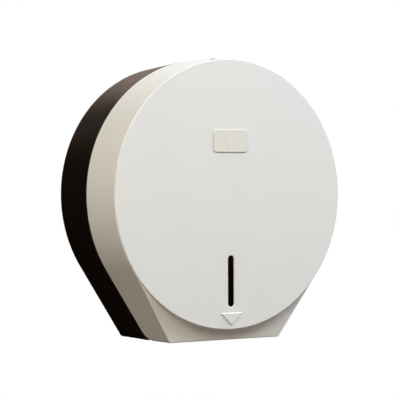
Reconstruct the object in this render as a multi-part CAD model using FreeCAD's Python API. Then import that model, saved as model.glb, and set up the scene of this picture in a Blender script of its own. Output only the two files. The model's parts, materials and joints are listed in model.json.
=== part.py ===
import FreeCAD, Part
import math
import os
from FreeCAD import Vector

# A wall dispenser for one jumbo toilet roll: a dark rear case that screws to the
# wall, a white cover that drops forward on two pins near its lower corners, a
# free-turning hub that carries the roll, and a key lock in the top of the cover.
# Millimetres. The origin is on the spindle axis in the plane of the wall. +X is
# to the right as seen from the front, +Y goes into the wall and +Z is up.
# A depth is measured from the wall plane towards the front.

# Body outline
body_depth = 110.5          # wall plane to the face of the round front panel
seam_depth = 58.0           # wall plane to the front edge of the rear case
seam_gap = 0.5              # open line between the two shells
seam_radius = 135.0         # outside of both shells where they meet
rear_draft = 4.0            # the rear case is this much smaller at the wall
front_draft = 1.0           # the cover is this much smaller at its front panel
side_lean = 56.7            # degrees from straight down to the normal of a flat side
base_reach = 10.0           # the flat base lies this far below the round
base_corner = 3.0           # rounding where a flat side meets the base
shell_wall = 2.5            # wall of both shells
back_wall = 3.0             # wall of the rear case against the building wall
edge_chamfer = 0.7          # softened outer edges at the seam and at the wall
overrun = 1.0               # how far every cut runs past the face it opens
bite = 0.8                  # how far a fused rib or boss reaches into its wall

# Round front panel and the sloping apron under it
panel_round = 1.5           # rounding of the panel's edge
panel_land = 0.2            # straight edge between that rounding and the flat-sided body
panel_inset = 0.25          # the panel is this much smaller all round than the body
apron_setback = 11.1        # panel face back to the apron, at the base
apron_lean = 9.0            # degrees that the apron leans back on its way down
apron_round = 2.0           # rounding between the apron and the flat sides

# Tongue of the rear case inside the cover's rim
tongue_reach = 4.0
tongue_wall = 1.4
tongue_gap = 0.5            # between the tongue and the inside of the cover
tongue_root = 7.0           # length fused inside the rear case
tongue_stop = 14.0          # the tongue stops this far above the flat sides

# Hinge at the lower corners
pivot_rise = 12.0           # hinge axis above the base
pivot_reach = pivot_rise + seam_gap     # hinge axis in front of the case's edge
pin_radius = 2.0
pin_gap = 0.05              # radial running clearance of the hinge pins
pin_head_radius = 3.8
pin_head_thickness = 1.2
pin_tip_gap = 0.8           # tip of a pin to the inside of the cover's wall
hinge_boss_radius = 5.2
hinge_boss_gap = 0.6        # between the cheek and the cover's boss
cheek_wall = 3.0            # cheek plates beside the paper exit
cheek_gap = 0.6             # between a cheek and the inside of the cover
cheek_clear = 2.0           # rounded eye of a cheek to the base
cheek_toe = 8.0             # height of the cheek in front of the hinge
bulkhead_wall = 2.5         # web that closes the case beside a cheek

# Paper exit and its two tear strips
exit_back = 7.0             # wall plane to the back of the exit
ledge_width = 12.5          # from a cheek to the edge of the exit
ledge_gap = 3.9             # front end of the ledges to the inside of the apron
ledge_thickness = 4.0
strip_thickness = 0.8
strip_side_gap = 2.5        # back edge of a strip to the cheek
strip_back_gap = 2.0        # back of the exit to the end of a strip
strip_front_gap = 4.0       # front end of a strip to the end of its ledge
tooth_height = 3.0
tooth_count = 20
strip_screw_inset = 12.0    # from each end of a strip to its screw
strip_screw_share = 0.62    # teeth to screw, as a share of the strip's width
strip_screw_radius = 1.4
strip_head_radius = 2.8
strip_head_height = 1.6
strip_screw_bite = 3.0
screw_gap = 0.05            # around a screw or pin that stays put

# Inside of the rear case
rib_wall = 2.0
rib_height = 3.0
rib_count = 6
ring_inset = 35.0           # outside of the case at the wall to the ring-shaped rib
wall_hole_x = 50.0          # wall screws to the middle, sideways
wall_hole_z = 60.0          # wall screws to the middle, up and down
wall_hole_radius = 2.75
wall_pad_radius = 7.0
wall_pad_height = 4.0

# Spindle
stem_margin = 4.0           # the case's boss stands out this far round the axle's flange
stem_height = 3.0
axle_flange_radius = 16.0
axle_flange_thickness = 2.0
axle_collar_radius = 9.0
axle_collar_length = 2.0
axle_radius = 6.0
axle_screw_count = 3
axle_screw_radius = 1.45
axle_head_radius = 2.7
axle_head_height = 1.8
axle_screw_bite = 7.0
washer_thickness = 1.0
washer_radius = 11.0
cap_washer_thickness = 1.2
cap_washer_radius = 9.0
hub_screw_radius = 2.0
hub_screw_bite = 12.0
hub_head_radius = 3.9
hub_head_height = 2.4
drive_slot = 0.8            # width of the slot in each screw head
drive_slot_depth = 0.9

# Hub that carries the roll
hub_gap = 0.05              # radial running clearance on the axle
end_play = 0.15             # clearance at each end of the hub
hub_tube_radius = 10.0
hub_radius = 21.0           # outside of the barrel, inside a 45 mm core
hub_wall = 2.2
hub_flange_radius = 40.0
hub_flange_thickness = 2.5
hub_flange_setback = 0.4    # rear end of the tube to the flange
barrel_end_setback = 4.0    # front end of the tube to the front end of the barrel
hub_web = 2.4
hub_web_count = 4
hub_web_setback = 6.0       # webs stop short of the barrel's front end
finger_slot = 2.0           # slots that free the spring fingers
finger_length = 30.0
finger_half_share = 0.33    # half width of a finger, as a share of the barrel radius
flange_hole_radius = 5.0
flange_hole_count = 6
nose_gap = 5.65             # front of the hub's cap to the inside of the panel
cap_length = 11.0
cap_nose_radius = 12.0
cap_wall = 1.8
cap_gap = 0.2               # between the cap's skirt and the barrel
cap_skirt_wall = 1.5
cap_skirt_length = 5.0

# Sight window in the front panel
slot_width = 7.5
slot_length = 51.0
slot_rise = 5.8             # the slot ends this far above the arrow
slot_round = 0.7
window_gap = 0.12
window_recess = 1.2         # window face behind the panel face
window_flange = 3.8         # flange of the window around the slot, sideways
window_flange_end = 11.5    # the same beyond the slot's ends
window_flange_thickness = 1.2
stake_radius = 1.5
stake_reach = 0.8           # stake beyond its clip
stake_from_slot = 6.5       # end of the slot to a stake's centre
clip_radius = 4.0
clip_thickness = 0.4

# Blank badge and raised arrow on the front panel
badge_width = 41.0
badge_height = 22.5
badge_rise = 52.8           # centre above the spindle axis
badge_corner = 3.5
badge_thickness = 1.4
badge_recess = 0.5
badge_gap = 0.2
badge_round = 0.5
arrow_width = 25.4
arrow_height = 12.7
arrow_rise = 4.0            # lowest point of the round front to the arrow's tip
arrow_relief = 1.0          # how far the arrow stands proud
arrow_slope = 1.1           # width of its sloping border

# Key lock in the top of the cover
lock_setback = 20.5         # panel face back to the lock's axis
lock_flange_radius = 9.0
lock_flange_thickness = 1.2
lock_seat = 0.5             # flat spot sunk into the round top
lock_body_radius = 7.0
lock_hole_gap = 0.15
lock_pad_radius = 12.5      # flat pad moulded inside the cover for the nut
lock_pad_drop = 4.2         # top of the cover down to the face of the pad
lock_nut_radius = 10.5
lock_nut_thickness = 3.0
lock_nut_flat_share = 0.88  # middle of the nut to a flat, as a share of its radius
plug_radius = 5.0
plug_gap = 0.05
plug_recess = 0.2
plug_tail_end = 0.6         # what the plug's tail stands out of the cam's nut
plug_tail_radius = 2.5
keyway_width = 1.3
keyway_length = 6.4
keyway_depth = 5.0
cam_thickness = 1.8
cam_half_width = 5.0
cam_hook = 2.0              # thickness of the hook
cam_hook_height = 4.5
cam_gap = 0.15              # between cam and lock body
cam_tip_gap = 0.9           # between the hook and the round inside of the cover
cam_nut_radius = 4.6
cam_nut_thickness = 2.4
keeper_half_width = 8.0
keeper_gap = 0.5            # between the hook and the keeper
keeper_wall = 3.0
keeper_low_gap = 1.2        # between the cam and the lower edge of the keeper

lean = math.radians(side_lean)
apron_tilt = math.radians(apron_lean)
wall_radius = seam_radius - rear_draft
panel_radius = seam_radius - front_draft
base_drop = seam_radius + base_reach        # spindle axis down to the flat base
pivot_depth = seam_depth + pivot_reach
pivot_z = pivot_rise - base_drop
panel_shelf = body_depth - panel_round - panel_land     # the flat-sided body ends here
panel_inside = body_depth - shell_wall
inner_shelf = panel_inside - panel_round
tongue_low = seam_radius * math.cos(lean) - tongue_stop
cheek_outer = (panel_radius - base_drop * math.cos(lean) - shell_wall) / math.sin(lean) - cheek_gap
cheek_inner = cheek_outer - cheek_wall
cheek_round = pivot_rise - cheek_clear
exit_half = cheek_inner - ledge_width
ledge_top = ledge_thickness - base_drop
ledge_front = body_depth - apron_setback - shell_wall / math.cos(apron_tilt) - ledge_gap
strip_width = ledge_width + tooth_height - strip_side_gap
strip_back = exit_back + strip_back_gap
strip_length = ledge_front - strip_front_gap - strip_back
ring_radius = wall_radius - ring_inset
stem_radius = axle_flange_radius + stem_margin
stem_front = back_wall + stem_height
flange_front = stem_front + axle_flange_thickness
collar_front = flange_front + axle_collar_length
axle_screw_ring = (axle_collar_radius + axle_flange_radius) / 2
hub_back = collar_front + washer_thickness + end_play
barrel_front = panel_inside - nose_gap - cap_length
hub_front = barrel_front + barrel_end_setback
axle_front = hub_front + end_play
flange_back = hub_back + hub_flange_setback
flange_hole_ring = (hub_radius + hub_flange_radius) / 2
arrow_top = panel_radius - arrow_rise - arrow_height    # below the spindle axis
slot_low = arrow_top - slot_rise
slot_top = slot_low - slot_length
window_top = window_flange_end - slot_top
window_low = -slot_low - window_flange_end
lock_depth = body_depth - lock_setback
lock_cam_radius = lock_depth - seam_depth + keeper_gap
cam_reach = lock_cam_radius + cam_hook
plug_tail = cam_thickness + cam_nut_thickness + plug_tail_end


# Basic solids, placed by depth
def place(x, depth, z):
    return Vector(x, -depth, z)


def block(x_from, x_to, depth_from, depth_to, z_from, z_to):
    size = (x_to - x_from, depth_to - depth_from, z_to - z_from)
    return Part.makeBox(*size, place(x_from, depth_to, z_from))


def drum(radius, depth_from, depth_to, x=0, z=0):
    return Part.makeCylinder(radius, depth_to - depth_from, place(x, depth_from, z), Vector(0, -1, 0))


def taper(radius_from, radius_to, depth_from, depth_to):
    start = place(0, depth_from, 0)
    return Part.makeCone(radius_from, radius_to, depth_to - depth_from, start, Vector(0, -1, 0))


def crossbar(radius, x_from, x_to, depth, z):
    return Part.makeCylinder(radius, x_to - x_from, place(x_from, depth, z), Vector(1, 0, 0))


def post(radius, z_from, z_to, depth):
    return Part.makeCylinder(radius, z_to - z_from, place(0, depth, z_from))


def mirrored(shape):
    return shape.mirror(Vector(0, 0, 0), Vector(1, 0, 0))


def both_sides(shape):
    return [shape, mirrored(shape)]


def joined(first, others):
    return first.fuse(others).removeSplitter()


def pill(width, top, low, depth_from, depth_to):
    # An upright bar with round ends.
    radius = width / 2
    bar = block(-radius, radius, depth_from, depth_to, low + radius, top - radius)
    ends = [drum(radius, depth_from, depth_to, 0, z) for z in (low + radius, top - radius)]
    return joined(bar, ends)


def rounded_plate(width, height, corner, depth_from, depth_to, z):
    body = block(-width / 2, width / 2, depth_from, depth_to, z - height / 2, z + height / 2)
    upright = [e for e in body.Edges if e.BoundBox.YLength > (depth_to - depth_from) / 2]
    return body.makeFillet(corner, upright)


def around_y(shape, degrees):
    turned = shape.copy()
    turned.rotate(Vector(0, 0, 0), Vector(0, 1, 0), degrees)
    return turned


def ring_of(shape, count, start=0.0):
    return [around_y(shape, start + 360.0 * i / count) for i in range(count)]


# Body outline at one depth
def body_radius(depth):
    if depth <= seam_depth:
        return wall_radius + (seam_radius - wall_radius) * depth / seam_depth
    share = (depth - seam_depth) / (body_depth - seam_depth)
    return seam_radius + (panel_radius - seam_radius) * share


def section(depth, radius, drop=base_drop, corner=base_corner):
    # A round top, two flat sides tangent to it and a flat base, with rounded
    # lower corners. Angles are measured from straight down.
    def on_round(angle, side):
        return place(side * radius * math.sin(angle), depth, -radius * math.cos(angle))

    middle = (math.pi + lean) / 2
    corner_x = (radius - drop * math.cos(lean)) / math.sin(lean)
    trim = corner * math.tan(lean / 2)
    halves = {}
    for side in (1, -1):
        touch = on_round(lean, side)
        side_end = place(side * (corner_x + trim * math.cos(lean)), depth, trim * math.sin(lean) - drop)
        bow = place(side * (corner_x - trim + corner * math.sin(lean / 2)), depth,
                    corner * (1 - math.cos(lean / 2)) - drop)
        base_end = place(side * (corner_x - trim), depth, -drop)
        halves[side] = [Part.Arc(on_round(math.pi, side), on_round(middle, side), touch).toShape(),
                        Part.LineSegment(touch, side_end).toShape(),
                        Part.Arc(side_end, bow, base_end).toShape()]
    base_ends = [place(x, depth, -drop) for x in (corner_x - trim, trim - corner_x)]
    base = Part.LineSegment(*base_ends).toShape()
    return Part.Wire(halves[1] + [base] + halves[-1][::-1])


def loft(sections):
    return Part.makeLoft(sections, True, True)


def body_block(depth_from, depth_to, inset=0.0, drop=base_drop, corner=base_corner):
    rows = [section(d, body_radius(d) - inset, drop, corner) for d in (depth_from, depth_to)]
    return loft(rows)


def body_rim(depth_from, depth_to, outer_inset, inner_inset):
    outer = body_block(depth_from, depth_to, outer_inset)
    return outer.cut(body_block(depth_from - overrun, depth_to + overrun, inner_inset))


# Rear case
def case_shell():
    low_corner = base_corner - edge_chamfer
    low = base_drop - edge_chamfer
    shoulder = seam_depth - edge_chamfer
    outer = loft([section(0, wall_radius - edge_chamfer, low, low_corner),
                  section(edge_chamfer, body_radius(edge_chamfer)),
                  section(shoulder, body_radius(shoulder)),
                  section(seam_depth, seam_radius - edge_chamfer, low, low_corner)])
    inner_corner = base_corner - shell_wall
    hollow = body_block(back_wall, seam_depth + overrun, shell_wall, base_drop - shell_wall, inner_corner)
    return outer.cut(hollow)


def case_tongue():
    tongue_inset = shell_wall + tongue_gap
    inner_inset = tongue_inset + tongue_wall
    root = body_rim(seam_depth - tongue_root, seam_depth, shell_wall - bite, inner_inset)
    front = body_rim(seam_depth, seam_depth + tongue_reach, tongue_inset, inner_inset)
    low = block(-seam_radius, seam_radius, 0, body_depth, -base_drop - overrun, -tongue_low)
    return joined(root, [front]).cut(low)


def case_cheek():
    top = pivot_z + cheek_round
    run = block(cheek_inner, cheek_outer, back_wall - bite, pivot_depth, -base_drop, top)
    eye = crossbar(cheek_round, cheek_inner, cheek_outer, pivot_depth, pivot_z)
    toe = block(cheek_inner, cheek_outer, pivot_depth, ledge_front, -base_drop, cheek_toe - base_drop)
    ledge = block(exit_half, cheek_inner + bite, back_wall - bite, ledge_front, -base_drop, ledge_top)
    web = block(cheek_inner + bite, wall_radius, seam_depth - bulkhead_wall, seam_depth, -base_drop, top)
    web = web.common(body_block(back_wall, seam_depth, shell_wall - bite))
    return joined(run, [eye, toe, ledge, web])


def case_keeper():
    # Hangs from the tongue, with faces concentric to the lock, so that the cam's
    # hook can swing clear of it.
    outer = lock_depth - seam_depth
    top = seam_radius - shell_wall - tongue_gap - bite
    low = lock_low() + keeper_low_gap
    ring = post(outer, low, top, lock_depth).cut(post(outer - keeper_wall, low, top, lock_depth))
    tab = block(-keeper_half_width, keeper_half_width, 0, lock_depth, low, top)
    return ring.common(tab)


def case_ribs():
    rib = block(stem_radius - bite, wall_radius - bite, back_wall - bite, back_wall + rib_height,
                -rib_wall / 2, rib_wall / 2)
    ribs = ring_of(rib, rib_count)
    hoop = drum(ring_radius, back_wall - bite, back_wall + rib_height)
    ribs.append(hoop.cut(drum(ring_radius - rib_wall, 0, seam_depth)))
    return ribs


def wall_hole_places():
    return [(x, z) for x in (-wall_hole_x, wall_hole_x) for z in (-wall_hole_z, wall_hole_z)]


def axle_screw_places():
    turns = [math.pi / 2 + 2 * math.pi * i / axle_screw_count for i in range(axle_screw_count)]
    return [(axle_screw_ring * math.cos(a), axle_screw_ring * math.sin(a)) for a in turns]


def strip_screw_depths():
    return (strip_back + strip_screw_inset, strip_back + strip_length - strip_screw_inset)


def strip_screw_x():
    return exit_half - tooth_height + strip_width * strip_screw_share


def rear_case():
    extras = case_ribs() + [case_tongue(), case_keeper()]
    extras += [drum(wall_pad_radius, back_wall - bite, back_wall + wall_pad_height, x, z)
               for x, z in wall_hole_places()]
    extras.append(drum(stem_radius, back_wall - bite, stem_front))
    extras += both_sides(case_cheek())
    shell = joined(case_shell(), extras)
    cuts = [block(-exit_half, exit_half, exit_back, body_depth, -base_drop - overrun, ledge_top + overrun)]
    cuts += [drum(wall_hole_radius, -overrun, seam_depth, x, z) for x, z in wall_hole_places()]
    pilot = axle_screw_radius + screw_gap
    cuts += [drum(pilot, stem_front + axle_flange_thickness - axle_screw_bite, stem_front + overrun, x, z)
             for x, z in axle_screw_places()]
    for depth in strip_screw_depths():
        hole = Part.makeCylinder(strip_screw_radius + screw_gap, strip_screw_bite + overrun,
                                 place(strip_screw_x(), depth, ledge_top - strip_screw_bite))
        cuts += both_sides(hole)
    cuts += both_sides(crossbar(pin_radius + pin_gap, cheek_inner - overrun, cheek_outer + overrun,
                                pivot_depth, pivot_z))
    return shell.cut(cuts)


# Tear strips
def tear_strip():
    # Flat steel with a row of teeth that look into the exit.
    step = strip_length / tooth_count
    tip = exit_half - tooth_height
    points = [(strip_back, exit_half)]
    for i in range(tooth_count):
        points.append((strip_back + (i + 0.5) * step, tip))
        points.append((strip_back + (i + 1) * step, exit_half))
    points += [(strip_back + strip_length, tip + strip_width), (strip_back, tip + strip_width)]
    corners = [place(x, d, ledge_top) for d, x in points]
    face = Part.Face(Part.makePolygon(corners + corners[:1]))
    strip = face.extrude(Vector(0, 0, strip_thickness))
    for depth in strip_screw_depths():
        strip = strip.cut(Part.makeCylinder(strip_screw_radius + screw_gap, strip_thickness + 2 * overrun,
                                            place(strip_screw_x(), depth, ledge_top - overrun)))
    return strip


def slotted_screw(radius, length, head_radius, head_height):
    # Stands on its head's seat at the origin, shank down, slot across the head.
    shank = Part.makeCylinder(radius, length, Vector(0, 0, -length))
    head = Part.makeCylinder(head_radius, head_height)
    rim = [e for e in head.Edges if e.BoundBox.ZMin > head_height / 2 and e.BoundBox.XLength > head_radius]
    head = head.makeFillet(head_height / 3, rim)
    slot = Part.makeBox(head_radius * 2, drive_slot, head_height,
                        Vector(-head_radius, -drive_slot / 2, head_height - drive_slot_depth))
    return joined(shank, [head]).cut(slot)


def forward_screw(screw, x, depth, z):
    # Turns an upright screw so that its head faces the front.
    turned = screw.copy()
    turned.rotate(Vector(0, 0, 0), Vector(1, 0, 0), 90)
    turned.translate(place(x, depth, z))
    return turned


def strip_screws():
    seat = ledge_top + strip_thickness
    screws = []
    for depth in strip_screw_depths():
        screw = slotted_screw(strip_screw_radius, strip_thickness + strip_screw_bite - screw_gap,
                              strip_head_radius, strip_head_height)
        screw.translate(place(strip_screw_x(), depth, seat))
        screws += both_sides(screw)
    return Part.makeCompound(screws)


# Hinge pins
def pin_tip_x():
    # Just short of the inside of the cover's flat side, at the hinge's height.
    reach = body_radius(pivot_depth) - shell_wall + pivot_z * math.cos(lean)
    return reach / math.sin(lean) - pin_tip_gap


def hinge_pin():
    # Pushed through the cheek from inside, into the blind boss of the cover.
    shank = crossbar(pin_radius, cheek_inner, pin_tip_x(), pivot_depth, pivot_z)
    head = crossbar(pin_head_radius, cheek_inner - pin_head_thickness, cheek_inner, pivot_depth, pivot_z)
    return joined(shank, [head])


# Spindle
def spindle_axle():
    axle = joined(drum(axle_flange_radius, stem_front, flange_front),
                  [drum(axle_collar_radius, flange_front, collar_front),
                   drum(axle_radius, collar_front, axle_front)])
    cuts = [drum(axle_screw_radius + screw_gap, stem_front - overrun, flange_front + overrun, x, z)
            for x, z in axle_screw_places()]
    cuts += [drum(axle_head_radius + screw_gap, flange_front, collar_front + overrun, x, z)
             for x, z in axle_screw_places()]
    cuts.append(drum(hub_screw_radius + screw_gap, axle_front - hub_screw_bite - overrun,
                     axle_front + overrun))
    return axle.cut(cuts)


def axle_screws():
    screw = slotted_screw(axle_screw_radius, axle_screw_bite - screw_gap, axle_head_radius, axle_head_height)
    return Part.makeCompound([forward_screw(screw, x, flange_front, z) for x, z in axle_screw_places()])


def thrust_washer():
    disc = drum(washer_radius, collar_front, collar_front + washer_thickness)
    return disc.cut(drum(axle_radius + hub_gap, collar_front - overrun, hub_back + overrun))


def retaining_washer():
    disc = drum(cap_washer_radius, axle_front, axle_front + cap_washer_thickness)
    return disc.cut(drum(hub_screw_radius + screw_gap, axle_front - overrun, axle_front + cap_length))


def hub_screw():
    screw = slotted_screw(hub_screw_radius, hub_screw_bite + cap_washer_thickness,
                          hub_head_radius, hub_head_height)
    return forward_screw(screw, 0, axle_front + cap_washer_thickness, 0)


# Hub
def roll_hub():
    flange_face = flange_back + hub_flange_thickness
    barrel = drum(hub_radius, flange_back, barrel_front)
    barrel = barrel.cut(drum(hub_radius - hub_wall, flange_face, barrel_front + overrun))
    slot_x = hub_radius * finger_half_share
    slot = block(slot_x - finger_slot / 2, slot_x + finger_slot / 2, barrel_front - finger_length,
                 barrel_front + overrun, -hub_radius, hub_radius)
    barrel = barrel.cut(both_sides(slot))
    flange = drum(hub_flange_radius, flange_back, flange_face)
    hole = drum(flange_hole_radius, flange_back - overrun, flange_face + overrun, flange_hole_ring)
    flange = flange.cut(ring_of(hole, flange_hole_count))
    tube = drum(hub_tube_radius, hub_back, hub_front)
    web = block(hub_tube_radius - bite, hub_radius - hub_wall + bite, flange_back,
                barrel_front - hub_web_setback, -hub_web / 2, hub_web / 2)
    hub = joined(barrel, [flange, tube] + ring_of(web, hub_web_count, 180.0 / hub_web_count))
    return hub.cut(drum(axle_radius + hub_gap, hub_back - overrun, hub_front + overrun))


def hub_cap():
    # Hollow nose that covers the retaining screw and guides the core on.
    skirt_radius = hub_radius - hub_wall - cap_gap
    base_radius = hub_radius - cap_gap
    start = barrel_front
    nose = taper(base_radius, cap_nose_radius, start, start + cap_length)
    tip = [e for e in nose.Edges if e.BoundBox.YMin < -(start + cap_length) + overrun
           and e.BoundBox.XLength > cap_nose_radius]
    nose = nose.makeFillet(cap_wall, tip)
    skirt = drum(skirt_radius, start - cap_skirt_length, start)
    inner = skirt_radius - cap_skirt_wall
    hollow = taper(inner, cap_nose_radius - cap_wall, start, start + cap_length - cap_wall)
    bore = drum(inner, start - cap_skirt_length - overrun, start)
    return joined(nose, [skirt]).cut(joined(hollow, [bore]))


# Cover
def apron_plane_depth(z):
    return body_depth - apron_setback + (z + base_drop) * math.tan(apron_tilt)


def in_front_of_apron(inset=0.0):
    # Everything in front of the apron's plane, moved back by the inset.
    back = inset / math.cos(apron_tilt)
    low = -base_drop - overrun - shell_wall
    high = seam_radius + overrun
    far = apron_plane_depth(high) + overrun
    side = [(apron_plane_depth(low) - back, low), (far, low), (far, high),
            (apron_plane_depth(high) - back, high)]
    corners = [place(-seam_radius - overrun, d, z) for d, z in side]
    face = Part.Face(Part.makePolygon(corners + corners[:1]))
    return face.extrude(Vector(2 * seam_radius + 2 * overrun, 0, 0))


def sloped_front(body, shelf, inset=0.0):
    # Cuts a flat-sided body to the apron's slope, and to a level shelf above it.
    reach = seam_radius + overrun
    front = block(-reach, reach, shelf, 2 * body_depth, -reach - base_drop, reach)
    return body.cut([front, in_front_of_apron(inset)])


def panel_drum(front, inset=0.0):
    # The round panel, which stands out in front of the apron.
    back = body_depth - 2 * apron_setback
    radii = [body_radius(d) - panel_inset - inset for d in (back, front)]
    return taper(radii[0], radii[1], back, front)


def cover_outer():
    rim_corner = base_corner - edge_chamfer
    start = seam_depth + seam_gap
    far = apron_plane_depth(seam_radius)
    skirt = loft([section(start, body_radius(start) - edge_chamfer, base_drop - edge_chamfer, rim_corner),
                  section(start + edge_chamfer, body_radius(start + edge_chamfer)),
                  section(far, body_radius(far))])
    skirt = skirt.cut(in_front_of_apron())
    low = [e for e in skirt.Edges
           if abs(-e.CenterOfMass.y - apron_plane_depth(e.CenterOfMass.z)) < edge_chamfer
           and e.CenterOfMass.z < -panel_radius * math.cos(lean)]
    skirt = skirt.makeFillet(apron_round, low)
    panel = panel_drum(body_depth)
    rim = [e for e in panel.Edges if e.BoundBox.YMax < panel_round - body_depth]
    return joined(sloped_front(skirt, panel_shelf), [panel.makeFillet(panel_round, rim)])


def cover_hollow():
    # Open at the back and at the base.
    room = body_block(seam_depth + seam_gap - overrun, panel_inside, shell_wall, base_drop + shell_wall,
                      base_corner - shell_wall)
    room = sloped_front(room, inner_shelf, shell_wall)
    return joined(room, [panel_drum(panel_inside, shell_wall)])


def cover_heel():
    # What is cut away around the hinge axis, so that the cover's lower rear
    # corner is a quarter round that can roll past the case.
    low = block(-seam_radius, seam_radius, seam_depth - overrun, pivot_depth, -base_drop - overrun, pivot_z)
    return low.cut(crossbar(pivot_rise, -seam_radius - overrun, seam_radius + overrun, pivot_depth, pivot_z))


def hinge_boss():
    start = cheek_outer + hinge_boss_gap
    boss = crossbar(hinge_boss_radius, start, seam_radius, pivot_depth, pivot_z)
    return boss.common(body_block(seam_depth + seam_gap, panel_inside, shell_wall - bite))


def arrow():
    half = arrow_width / 2
    run = arrow_slope
    # The sloping border keeps the same width on all three sides.
    slant = math.hypot(half, arrow_height) / arrow_height
    tip_pull = run * math.hypot(half, arrow_height) / half
    base = [(-half, -arrow_top), (half, -arrow_top), (0, -arrow_top - arrow_height)]
    inner_half = half - run * slant - run * half / arrow_height
    top = [(-inner_half, -arrow_top - run), (inner_half, -arrow_top - run),
           (0, -arrow_top - arrow_height + tip_pull)]
    wires = []
    for points, depth in ((base, body_depth), (top, body_depth + arrow_relief)):
        corners = [place(x, depth, z) for x, z in points]
        wires.append(Part.makePolygon(corners + corners[:1]))
    return loft(wires)


def window_stakes():
    places = (stake_from_slot - slot_top, -slot_low - stake_from_slot)
    end = panel_inside - window_flange_thickness - clip_thickness - stake_reach
    return [drum(stake_radius, end, panel_inside + bite, 0, z) for z in places]


def front_cover():
    shell = cover_outer().cut(cover_hollow()).cut(cover_heel())
    shell = joined(shell, both_sides(hinge_boss()) + window_stakes() + [arrow(), lock_pad()])
    slot = pill(slot_width, -slot_top, -slot_low, panel_inside - overrun, body_depth + overrun)
    bed = rounded_plate(badge_width + 2 * badge_gap, badge_height + 2 * badge_gap, badge_corner + badge_gap,
                        body_depth - badge_recess, body_depth + overrun, badge_rise)
    seat = lock_seat_z()
    cuts = [slot, bed]
    cuts.append(post(lock_flange_radius + lock_hole_gap, seat, seam_radius + overrun, lock_depth))
    cuts.append(post(lock_body_radius + lock_hole_gap, pivot_z + base_drop, seam_radius, lock_depth))
    cuts += both_sides(crossbar(pin_radius + pin_gap, cheek_outer, pin_tip_x() + pin_gap,
                                pivot_depth, pivot_z))
    cover = shell.cut(cuts)
    lip = [e for e in cover.Edges if e.BoundBox.YMax < bite - body_depth and e.BoundBox.XMax < slot_width
           and e.BoundBox.XMin > -slot_width and e.BoundBox.ZMax < slot_round - slot_top
           and e.BoundBox.ZMin > -slot_low - slot_round]
    return cover.makeChamfer(slot_round, lip)


def sight_window():
    flange_front_face = panel_inside
    back = panel_inside - window_flange_thickness
    flange = pill(slot_width + 2 * window_flange, window_top, window_low, back, flange_front_face)
    rib = pill(slot_width - 2 * window_gap, -slot_top - window_gap, -slot_low + window_gap,
               flange_front_face, body_depth - window_recess)
    lens = joined(flange, [rib])
    places = (stake_from_slot - slot_top, -slot_low - stake_from_slot)
    return lens.cut([drum(stake_radius + screw_gap, back - overrun, panel_inside + overrun, 0, z)
                     for z in places])


def window_clips():
    front = panel_inside - window_flange_thickness
    clips = []
    for z in (stake_from_slot - slot_top, -slot_low - stake_from_slot):
        clip = drum(clip_radius, front - clip_thickness, front, 0, z)
        clips.append(clip.cut(drum(stake_radius + screw_gap, front - clip_radius, front + overrun, 0, z)))
    return Part.makeCompound(clips)


def name_plate():
    back = body_depth - badge_recess
    badge = rounded_plate(badge_width, badge_height, badge_corner, back, back + badge_thickness, badge_rise)
    rim = [e for e in badge.Edges if e.BoundBox.YMax < -body_depth]
    return badge.makeFillet(badge_round, rim)


def lock_pad():
    # Gives the lock's nut a flat face inside the round top.
    pad = post(lock_pad_radius, lock_pad_z(), seam_radius, lock_depth)
    return pad.common(body_block(seam_depth + seam_gap, panel_inside, shell_wall - bite))


# Lock
def lock_seat_z():
    return body_radius(lock_depth) - lock_seat


def lock_pad_z():
    return body_radius(lock_depth) - lock_pad_drop


def lock_low():
    # Top face of the cam, low enough for its hook to swing clear of the round
    # inside of the cover. The lock's body reaches down to it.
    inside = body_radius(lock_depth + cam_half_width) - shell_wall - cam_tip_gap
    return math.sqrt(inside ** 2 - cam_reach ** 2) - cam_hook_height


def lock_housing():
    seat = lock_seat_z()
    flange = post(lock_flange_radius, seat, seat + lock_flange_thickness, lock_depth)
    rim = [e for e in flange.Edges if e.BoundBox.ZMin > seat + lock_flange_thickness / 2
           and e.BoundBox.XLength > lock_flange_radius]
    flange = flange.makeFillet(lock_flange_thickness / 2, rim)
    body = post(lock_body_radius, lock_low() + cam_gap, seat, lock_depth)
    return joined(flange, [body]).cut(post(plug_radius + plug_gap, 0, seam_radius + overrun * 2, lock_depth))


def lock_nut():
    # Ring nut with two flats, drawn up against the round inside of the cover.
    top = lock_pad_z()
    nut = post(lock_nut_radius, top - lock_nut_thickness, top, lock_depth)
    flat_depth = lock_depth - lock_nut_radius * lock_nut_flat_share
    flat = block(-seam_radius, seam_radius, 0, flat_depth, 0, seam_radius)
    flats = [flat, flat.mirror(place(0, lock_depth, 0), Vector(0, 1, 0))]
    return nut.cut(flats + [post(lock_body_radius + screw_gap, 0, seam_radius, lock_depth)])


def lock_plug():
    seat = lock_seat_z()
    top = seat + lock_flange_thickness - plug_recess
    low = lock_low()
    plug = joined(post(plug_radius, low, top, lock_depth),
                  [post(plug_tail_radius, low - plug_tail, low, lock_depth)])
    half = keyway_length / 2
    keyway = block(-half, half, lock_depth - keyway_width / 2, lock_depth + keyway_width / 2,
                   top - keyway_depth, top + overrun)
    return plug.cut(keyway)


def lock_cam():
    # Shown unlocked, pointing to the left. A quarter turn takes its bent-up tip
    # to the wall side, behind the keeper.
    top = lock_low()
    reach = post(cam_reach, top - cam_thickness, top + cam_hook_height, lock_depth)
    lane = block(-cam_reach - overrun, 0, lock_depth - cam_half_width, lock_depth + cam_half_width,
                 top - cam_thickness, top + cam_hook_height)
    room = post(lock_cam_radius, top, top + cam_hook_height + overrun, lock_depth)
    arm = reach.common(lane).cut(room)
    head = post(cam_half_width, top - cam_thickness, top, lock_depth)
    return joined(arm, [head]).cut(post(plug_tail_radius + screw_gap, 0, seam_radius, lock_depth))


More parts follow.
